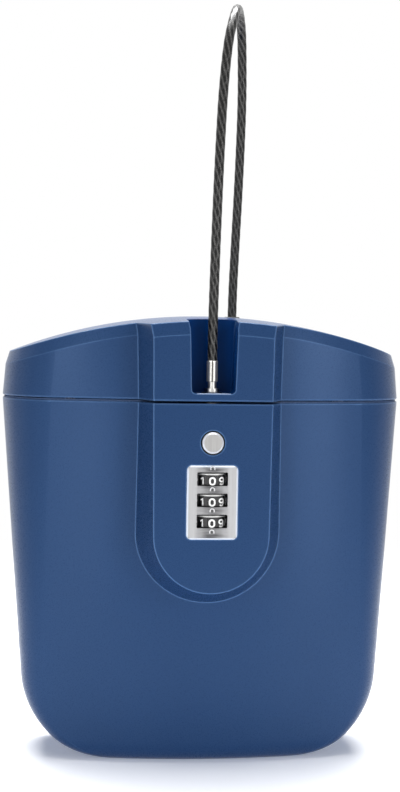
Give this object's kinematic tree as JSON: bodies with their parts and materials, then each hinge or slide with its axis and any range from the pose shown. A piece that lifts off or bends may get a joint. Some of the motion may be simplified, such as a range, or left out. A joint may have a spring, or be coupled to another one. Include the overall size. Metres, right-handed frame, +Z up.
{
  "type": "portable beach safe",
  "caption": "Tapered round-cornered case with an arched hinged lid, a raised lock panel with number dials and a button, and a locking cable loop.",
  "frame": {"origin": "middle of the flat base, where the case stands", "axes": "+Z up, -Y the lock panel at the front, +X to the right seen from the front"},
  "size_m": [0.1736, 0.1025, 0.3247],
  "materials": {
    "shell": "satin",
    "seal": "matte",
    "pad": "soft closed foam",
    "plate": "brushed",
    "dial": "satin",
    "sleeve": "machined",
    "steel": "bright",
    "spring": "drawn wire",
    "chrome": "polished",
    "housing": "moulded",
    "cable": "coated steel strand",
    "rubber": "matte",
    "liner": "moulded"
  },
  "bodies": {
    "case": {"case_shell": "shell", "hinge_base_left": "shell", "hinge_base_right": "shell", "rim_gasket": "seal", "base_pad": "pad", "lock_faceplate": "plate", "dial_spindle": "steel", "lock_housing": "housing", "detent_spring": "spring", "socket_tube": "steel", "catch_spring": "spring", "button_spring": "spring", "lock_cover": "housing", "cover_screws": "steel", "hinge_pin": "steel"},
    "lid": {"lid_shell": "shell", "hinge_leaf": "shell", "lid_liner": "liner", "liner_screws": "steel", "ledge_bush": "chrome", "cable": "cable", "rear_ferrule": "steel", "cable_grommet": "rubber"},
    "plug": {"plug_pin": "chrome", "plug_ferrule": "chrome"},
    "button": {"release_button": "chrome", "release_arm": "steel", "button_clip": "steel"},
    "top_wheel": {"dial_top": "dial", "sleeve_top": "sleeve"},
    "middle_wheel": {"dial_middle": "dial", "sleeve_middle": "sleeve"},
    "bottom_wheel": {"dial_bottom": "dial", "sleeve_bottom": "sleeve"},
    "lever": {"code_lever": "sleeve"}
  },
  "joints": [
    {"name": "lid_hinge", "type": "hinge", "parent": "case", "child": "lid", "pos_m": [0, 0.0452, 0.1544], "axis": [-1, 0, 0], "range_deg": [0, 105], "deforming": ["catch_spring"]},
    {"name": "plug_lift", "type": "slide", "parent": "lid", "child": "plug", "axis": [0, 0, 1], "range_m": [0, 0.024], "deforming": ["cable", "catch_spring"]},
    {"name": "button_press", "type": "slide", "parent": "case", "child": "button", "axis": [0, 1, 0], "range_m": [0, 0.003], "stiffness_N_per_m": 400, "springref_m": -0.003, "deforming": ["button_spring", "catch_spring"]},
    {"name": "top_dial_turn", "type": "hinge", "parent": "case", "child": "top_wheel", "pos_m": [0, -0.0463, 0.123], "axis": [0, 0, 1], "continuous": true},
    {"name": "middle_dial_turn", "type": "hinge", "parent": "case", "child": "middle_wheel", "pos_m": [0, -0.0463, 0.1143], "axis": [0, 0, 1], "continuous": true},
    {"name": "bottom_dial_turn", "type": "hinge", "parent": "case", "child": "bottom_wheel", "pos_m": [0, -0.0463, 0.1056], "axis": [0, 0, 1], "continuous": true},
    {"name": "code_lever_slide", "type": "slide", "parent": "case", "child": "lever", "axis": [1, 0, 0], "range_m": [0, 0.003]}
  ]
}
